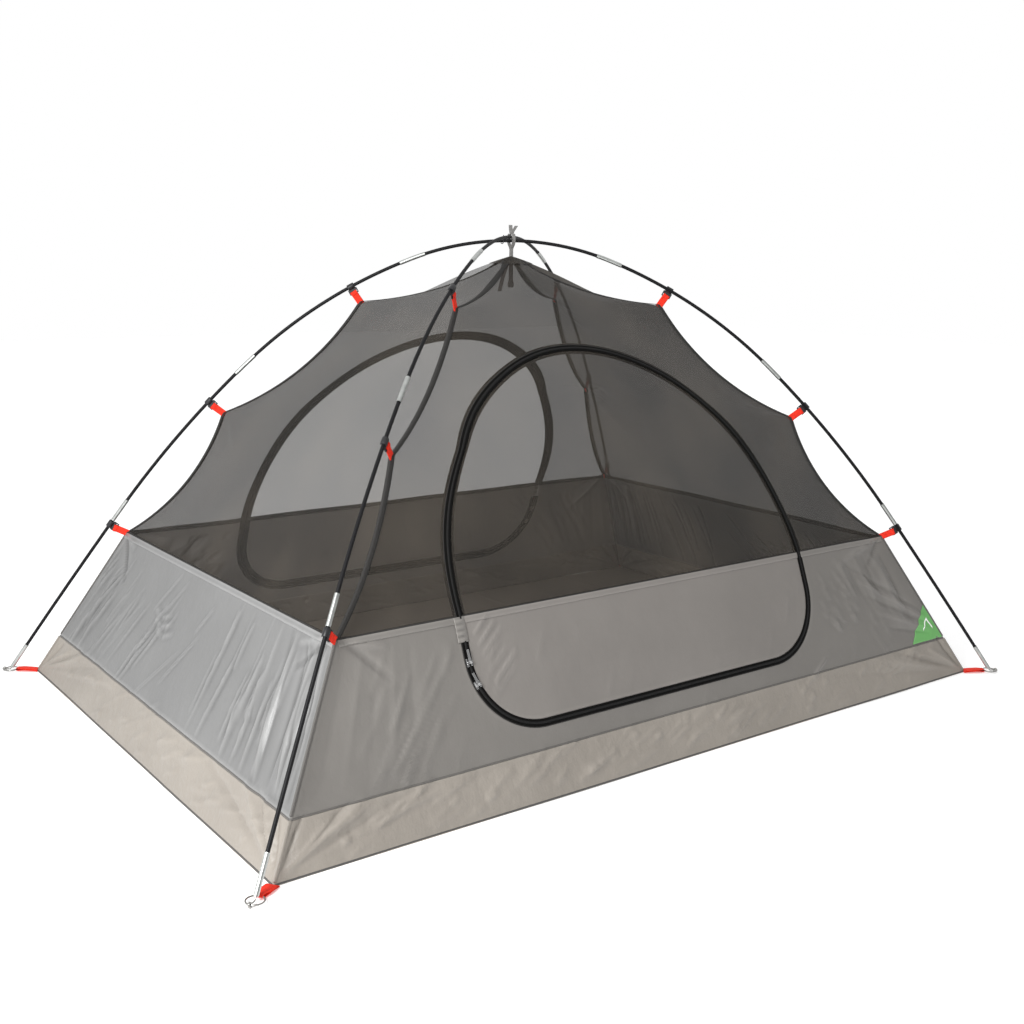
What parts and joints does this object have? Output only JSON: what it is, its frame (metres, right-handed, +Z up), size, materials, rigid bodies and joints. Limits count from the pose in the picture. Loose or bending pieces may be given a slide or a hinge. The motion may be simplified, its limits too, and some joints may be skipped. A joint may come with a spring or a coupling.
{
  "type": "dome tent",
  "caption": "Pitched dome tent: mesh upper walls, solid lower walls, bathtub floor, rounded zip doors front and rear, crossed sectioned poles with hook clips.",
  "frame": {"origin": "centre of the floor's underside, on the ground", "axes": "+X along the long side, -Y out of the front door, +Z up"},
  "size_m": [2.2496, 1.5646, 1.1993],
  "materials": {
    "pole": "black glass-fibre rod, satin",
    "ferrule": "plain metal sleeve",
    "shock_cord": "braided elastic",
    "clip": "moulded black",
    "webbing": "red-orange woven webbing",
    "hardware": "bent wire",
    "zip_metal": "plated zip slider",
    "zip_tape": "black zip tape and coil",
    "binding": "dark seam binding",
    "floor": "coated groundsheet",
    "skirt": "coated beige cloth",
    "mesh": "dark see-through insect mesh",
    "grey_tape": "grey woven tape",
    "wall": "thin grey polyester"
  },
  "bodies": {
    "tent": {"bathtub_skirt": "skirt", "clip_tabs": "webbing", "corner_pins": "hardware", "corner_rings": "hardware", "corner_straps": "webbing", "crown_patch": "grey_tape", "crown_tie": "grey_tape", "floor_sheet": "floor", "front_left_pole_clips": "clip", "front_lower_wall": "wall", "front_mesh": "mesh", "front_right_pole_clips": "clip", "front_wall_zip_tape": "zip_tape", "lantern_loop": "grey_tape", "left_lower_wall": "wall", "left_mesh": "mesh", "leg_bindings": "binding", "pole_1_section_1": "pole", "pole_1_section_2": "pole", "pole_1_section_3": "pole", "pole_1_section_4": "pole", "pole_1_section_5": "pole", "pole_1_section_6": "pole", "pole_1_section_7": "pole", "pole_2_section_1": "pole", "pole_2_section_2": "pole", "pole_2_section_3": "pole", "pole_2_section_4": "pole", "pole_2_section_5": "pole", "pole_2_section_6": "pole", "pole_2_section_7": "pole", "pole_ferrules": "ferrule", "pole_tips": "ferrule", "rear_left_pole_clips": "clip", "rear_lower_wall": "wall", "rear_mesh": "mesh", "rear_right_pole_clips": "clip", "rear_wall_zip_tape": "zip_tape", "right_lower_wall": "wall", "right_mesh": "mesh", "shock_cords": "shock_cord"},
    "front_door": {"front_door_panel": "wall", "front_door_mesh": "mesh", "front_door_zip": "zip_tape"},
    "front_upper_slider": {"front_upper_slider": "zip_metal"},
    "front_upper_pull": {"front_upper_pull": "zip_metal"},
    "front_lower_slider": {"front_lower_slider": "zip_metal"},
    "front_lower_pull": {"front_lower_pull": "zip_metal"},
    "rear_door": {"rear_door_panel": "wall", "rear_door_mesh": "mesh", "rear_door_zip": "zip_tape"},
    "rear_upper_slider": {"rear_upper_slider": "zip_metal"},
    "rear_upper_pull": {"rear_upper_pull": "zip_metal"},
    "rear_lower_slider": {"rear_lower_slider": "zip_metal"},
    "rear_lower_pull": {"rear_lower_pull": "zip_metal"}
  },
  "joints": [
    {"name": "front_door_swing", "type": "hinge", "parent": "tent", "child": "front_door", "pos_m": [-0.559, -0.58604, 0.359], "axis": [0, -0.3591, -0.9333], "range_deg": [0, 110]},
    {"name": "front_upper_slider_run", "type": "hinge", "parent": "front_door", "child": "front_upper_slider", "pos_m": [-0.38, -0.6072, 0.30399], "axis": [0, -0.9333, 0.3591], "range_deg": [0, 4]},
    {"name": "front_upper_pull_lift", "type": "hinge", "parent": "front_upper_slider", "child": "front_upper_pull", "pos_m": [-0.54477, -0.61553, 0.29794], "axis": [0.9986, 0.0188, 0.0488], "range_deg": [0, 150]},
    {"name": "front_lower_slider_run", "type": "hinge", "parent": "front_door", "child": "front_lower_slider", "pos_m": [-0.38, -0.6072, 0.30399], "axis": [0, -0.9333, 0.3591], "range_deg": [0, 65]},
    {"name": "front_lower_pull_lift", "type": "hinge", "parent": "front_lower_slider", "child": "front_lower_pull", "pos_m": [-0.53505, -0.6327, 0.25333], "axis": [0.9397, 0.1228, 0.3192], "range_deg": [0, 150]},
    {"name": "rear_door_swing", "type": "hinge", "parent": "tent", "child": "rear_door", "pos_m": [0.559, 0.58604, 0.359], "axis": [0, 0.3591, -0.9333], "range_deg": [0, 110]},
    {"name": "rear_upper_slider_run", "type": "hinge", "parent": "rear_door", "child": "rear_upper_slider", "pos_m": [0.38, 0.6072, 0.30399], "axis": [0, 0.9333, 0.3591], "range_deg": [0, 4]},
    {"name": "rear_upper_pull_lift", "type": "hinge", "parent": "rear_upper_slider", "child": "rear_upper_pull", "pos_m": [0.54477, 0.61553, 0.29794], "axis": [-0.9986, -0.0188, 0.0488], "range_deg": [0, 150]},
    {"name": "rear_lower_slider_run", "type": "hinge", "parent": "rear_door", "child": "rear_lower_slider", "pos_m": [0.38, 0.6072, 0.30399], "axis": [0, 0.9333, 0.3591], "range_deg": [0, 65]},
    {"name": "rear_lower_pull_lift", "type": "hinge", "parent": "rear_lower_slider", "child": "rear_lower_pull", "pos_m": [0.53505, 0.6327, 0.25333], "axis": [-0.9397, -0.1228, 0.3192], "range_deg": [0, 150]}
  ]
}
